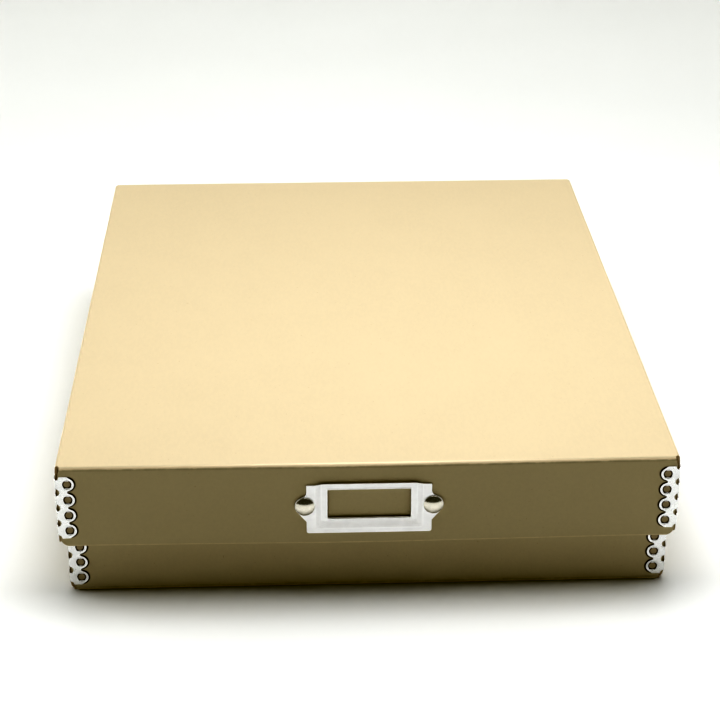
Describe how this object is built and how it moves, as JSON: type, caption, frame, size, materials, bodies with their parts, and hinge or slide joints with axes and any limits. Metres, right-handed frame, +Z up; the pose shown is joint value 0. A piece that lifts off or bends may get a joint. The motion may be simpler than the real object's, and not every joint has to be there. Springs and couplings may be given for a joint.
{
  "type": "archival box",
  "caption": "Flat two-piece box of folded board with metal-edge corners, a lift-off telescoping lid and a stamped card holder on the front.",
  "frame": {"origin": "centre of the base's underside", "axes": "+Z up, front wall with the card holder faces -Y, +X to the right seen from the front"},
  "size_m": [0.3056, 0.4116, 0.071],
  "materials": {
    "tan_board": "matt solid box board, 1.5 mm, lignin-free, tan",
    "strip_steel": "bright coated steel strip, perforated",
    "holder_steel": "stamped, plated, soft sheen",
    "pin_nickel": "polished nickel plate"
  },
  "bodies": {
    "base": {"base_tray": "tan_board", "base_corner_fl": "strip_steel", "base_corner_fr": "strip_steel", "base_corner_br": "strip_steel", "base_corner_bl": "strip_steel"},
    "lid": {"lid_tray": "tan_board", "lid_corner_fl": "strip_steel", "lid_corner_fr": "strip_steel", "lid_corner_br": "strip_steel", "lid_corner_bl": "strip_steel", "label_holder": "holder_steel", "holder_pin_left": "pin_nickel", "holder_pin_right": "pin_nickel"}
  },
  "joints": [
    {"name": "lid_lift", "type": "slide", "parent": "base", "child": "lid", "axis": [0, 0, 1], "range_m": [0, 0.07]}
  ]
}
